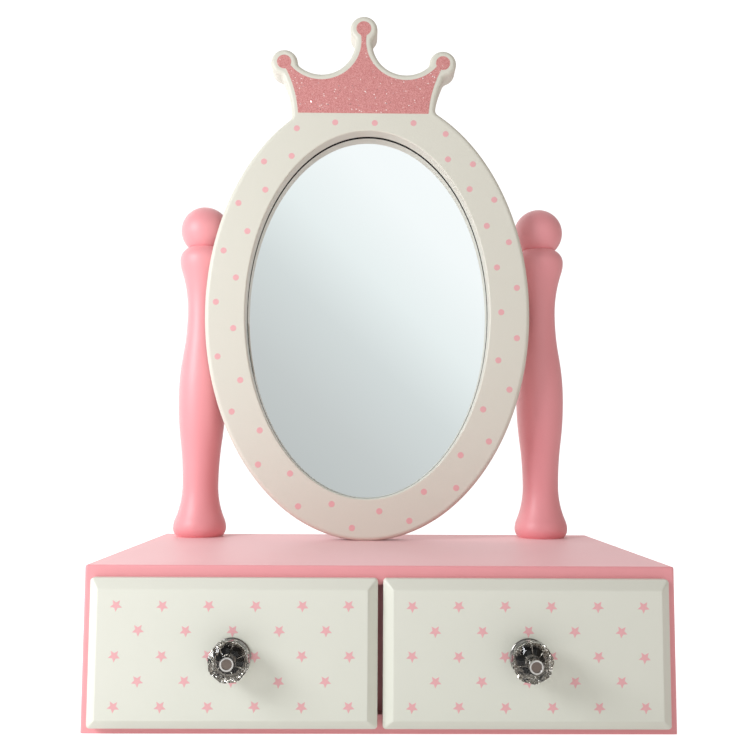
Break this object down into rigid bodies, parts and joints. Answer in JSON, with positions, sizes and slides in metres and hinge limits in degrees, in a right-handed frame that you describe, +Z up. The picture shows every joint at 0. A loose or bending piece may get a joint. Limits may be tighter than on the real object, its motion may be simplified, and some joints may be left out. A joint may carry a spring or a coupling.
{
  "type": "dressing table mirror",
  "caption": "Child's table-top dressing mirror: pink drawer box, turned posts and a crowned oval mirror; the drawers slide out.",
  "frame": {"origin": "middle of the drawer box's underside, on the surface it stands on", "axes": "+X to the right seen from the front, +Y from the drawer fronts to the back, +Z up"},
  "size_m": [0.285, 0.2123, 0.42],
  "materials": {
    "pink_paint": "satin paint",
    "cream_paint": "satin paint",
    "board_paint": "satin paint",
    "raw_board": "bare fibreboard",
    "backing_board": "smooth hardboard",
    "beech": "bare beech",
    "mirror": "silvered",
    "bedding": "matt black",
    "screw_steel": "zinc plated",
    "knob_chrome": "polished",
    "knob_clear": "clear, faceted"
  },
  "bodies": {
    "cabinet": {"carcass_dowels": "beech", "bottom_panel": "pink_paint", "top_panel": "pink_paint", "left_side_panel": "pink_paint", "right_side_panel": "pink_paint", "centre_divider": "pink_paint", "back_panel": "pink_paint", "post_screws": "screw_steel", "post_washers": "screw_steel", "left_post": "pink_paint", "right_post": "pink_paint", "mirror_frame": "board_paint", "mirror_glass": "mirror", "bedding_strip": "bedding", "mirror_backing": "backing_board", "mirror_rail": "pink_paint", "rail_spacers": "beech", "rail_screws": "screw_steel", "foot_screw": "screw_steel"},
    "left_drawer": {"left_drawer_front": "cream_paint", "left_drawer_inner_front": "raw_board", "left_drawer_side_inner": "raw_board", "left_drawer_side_outer": "raw_board", "left_drawer_back": "raw_board", "left_drawer_bottom": "backing_board", "left_front_screws": "screw_steel", "left_knob_base": "knob_chrome", "left_knob_crystal": "knob_clear", "left_knob_cap": "knob_chrome", "left_knob_bolt": "screw_steel", "left_knob_washer": "screw_steel"},
    "right_drawer": {"right_drawer_front": "cream_paint", "right_drawer_inner_front": "raw_board", "right_drawer_side_inner": "raw_board", "right_drawer_side_outer": "raw_board", "right_drawer_back": "raw_board", "right_drawer_bottom": "backing_board", "right_front_screws": "screw_steel", "right_knob_base": "knob_chrome", "right_knob_crystal": "knob_clear", "right_knob_cap": "knob_chrome", "right_knob_bolt": "screw_steel", "right_knob_washer": "screw_steel"}
  },
  "joints": [
    {"name": "left_drawer_slide", "type": "slide", "parent": "cabinet", "child": "left_drawer", "axis": [0, -1, 0], "range_m": [0, 0.11]},
    {"name": "right_drawer_slide", "type": "slide", "parent": "cabinet", "child": "right_drawer", "axis": [0, -1, 0], "range_m": [0, 0.11]}
  ]
}
